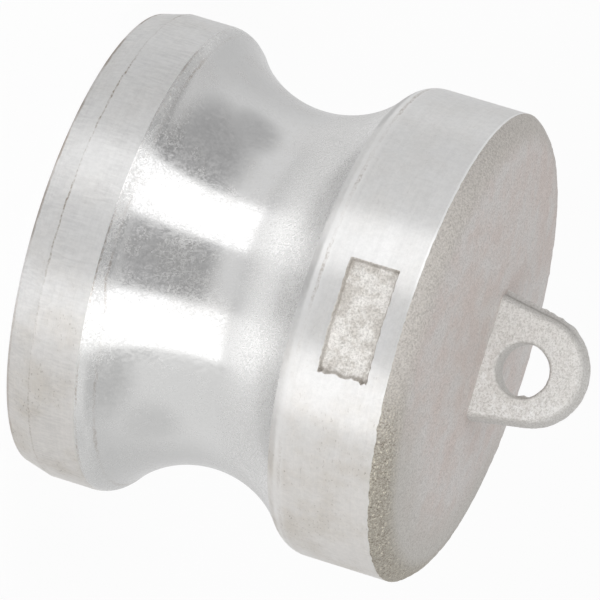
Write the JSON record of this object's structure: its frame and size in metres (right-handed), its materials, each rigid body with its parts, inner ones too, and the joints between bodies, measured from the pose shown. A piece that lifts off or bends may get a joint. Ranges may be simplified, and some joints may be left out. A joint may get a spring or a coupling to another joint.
{
  "type": "camlock dust plug",
  "caption": "Cast aluminium dust plug with a turned nose, a concave cam groove, a hollow cup and a chain eye on its closed end.",
  "frame": {"origin": "centre of the sealing face at the nose, on which the plug stands", "axes": "+Z along the plug's axis from the nose to the closed end; -Y square to the eye's broad face and through the marking pad"},
  "size_m": [0.063, 0.063, 0.068],
  "materials": {
    "turned_casting": "turned aluminium, satin on the land and band, polished in the groove, sand-cast grain on the end and inside",
    "raw_casting": "coarse as-cast grain"
  },
  "bodies": {
    "root": {"plug_body": "turned_casting", "chain_lug": "raw_casting"}
  },
  "joints": []
}
